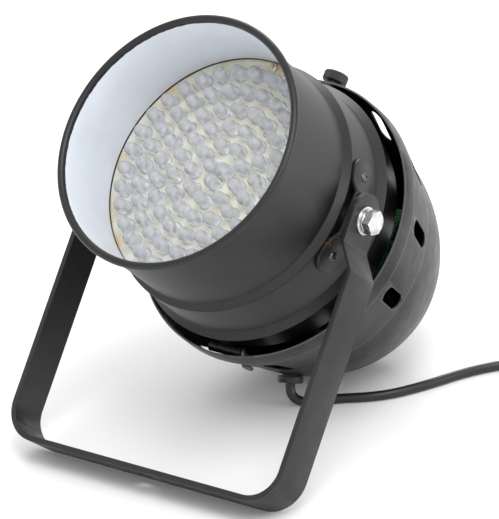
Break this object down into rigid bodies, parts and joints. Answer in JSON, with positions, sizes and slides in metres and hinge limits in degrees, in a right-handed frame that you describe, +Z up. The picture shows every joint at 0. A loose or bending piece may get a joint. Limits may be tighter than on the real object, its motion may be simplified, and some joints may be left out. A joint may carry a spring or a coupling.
{
  "type": "LED par can light",
  "caption": "LED stage spotlight: spun black can with an LED board behind a short snoot, hinged rear dome with controls, flat-bar yoke with pivot bolts, and a mains cord.",
  "frame": {"origin": "bottom centre of the light's box without its cord, on the floor that it stands on", "axes": "+X along the pivot axis, -Y to the front, +Z up; the beam leaves about 45 degrees upwards to the front"},
  "size_m": [0.4156, 0.3296, 0.3029],
  "materials": {
    "black_paint": "satin",
    "board_cream": "matte",
    "clear_lens": "clear gloss",
    "zinc": "bright zinc",
    "nylon": "matte",
    "bare_metal": "mill",
    "circuit_green": "solder mask",
    "black_plastic": "matte",
    "cable_rubber": "satin",
    "smoked_window": "gloss"
  },
  "bodies": {
    "dome": {"rear_dome": "black_paint", "control_plate": "black_paint", "plate_screws": "zinc", "display_window": "smoked_window", "button_board": "circuit_green", "xlr_input": "black_plastic", "xlr_output": "black_plastic", "xlr_screws": "zinc", "xlr_contacts": "zinc", "supply_board": "circuit_green", "transformer": "bare_metal", "supply_spacers": "black_plastic", "hinge_strap": "black_paint", "hinge_pin": "zinc", "hinge_screw": "black_paint", "strain_relief": "black_plastic", "power_cable": "cable_rubber", "cable_coil": "cable_rubber", "cable_tail": "cable_rubber", "plug_body": "black_plastic", "plug_pins": "zinc"},
    "can": {"front_can": "black_paint", "neck_ring": "black_paint", "led_board": "board_cream", "board_tray": "bare_metal", "led_ring_1": "clear_lens", "led_ring_2": "clear_lens", "led_ring_3": "clear_lens", "led_ring_4": "clear_lens", "led_ring_5": "clear_lens", "led_ring_6": "clear_lens", "board_screws": "zinc", "board_spacers": "zinc", "driver_board": "circuit_green", "driver_spacers": "black_plastic", "latch_fork": "black_paint", "hinge_lug": "black_paint", "side_bracket_left": "black_paint", "bracket_rivets_left": "black_paint", "hex_bolt_left": "zinc", "flat_washer_left": "zinc", "spring_washer_left": "zinc", "friction_washer_left": "nylon", "weld_nut_left": "zinc", "side_bracket_right": "black_paint", "bracket_rivets_right": "black_paint", "hex_bolt_right": "zinc", "flat_washer_right": "zinc", "spring_washer_right": "zinc", "friction_washer_right": "nylon", "weld_nut_right": "zinc"},
    "yoke": {"yoke": "black_paint"},
    "clamp_screw": {"thumb_screw": "black_paint"},
    "socket_key": {"xlr_latch": "black_plastic"},
    "key_1": {"button_1": "black_plastic"},
    "key_2": {"button_2": "black_plastic"},
    "key_3": {"button_3": "black_plastic"},
    "key_4": {"button_4": "black_plastic"}
  },
  "joints": [
    {"name": "dome_hinge", "type": "hinge", "parent": "dome", "child": "can", "pos_m": [0, -0.04459, 0.06279], "axis": [1, 0, 0], "range_deg": [0, 45]},
    {"name": "yoke_tilt", "type": "hinge", "parent": "can", "child": "yoke", "pos_m": [0, -0.01119, 0.17023], "axis": [-1, 0, 0], "range_deg": [-35, 195]},
    {"name": "clamp_screw_turn", "type": "hinge", "parent": "dome", "child": "clamp_screw", "pos_m": [0, 0.10399, 0.21034], "axis": [0, 0.7096, 0.7046], "continuous": true},
    {"name": "socket_key_press", "type": "slide", "parent": "dome", "child": "socket_key", "axis": [0, -0.7046, 0.7096], "range_m": [0, 0.0012], "stiffness_N_per_m": 500, "springref_m": -0.0006},
    {"name": "key_1_press", "type": "slide", "parent": "dome", "child": "key_1", "axis": [0, -0.7046, 0.7096], "range_m": [0, 0.001], "stiffness_N_per_m": 400, "springref_m": -0.0006},
    {"name": "key_2_press", "type": "slide", "parent": "dome", "child": "key_2", "axis": [0, -0.7046, 0.7096], "range_m": [0, 0.001], "stiffness_N_per_m": 400, "springref_m": -0.0006},
    {"name": "key_3_press", "type": "slide", "parent": "dome", "child": "key_3", "axis": [0, -0.7046, 0.7096], "range_m": [0, 0.001], "stiffness_N_per_m": 400, "springref_m": -0.0006},
    {"name": "key_4_press", "type": "slide", "parent": "dome", "child": "key_4", "axis": [0, -0.7046, 0.7096], "range_m": [0, 0.001], "stiffness_N_per_m": 400, "springref_m": -0.0006}
  ]
}
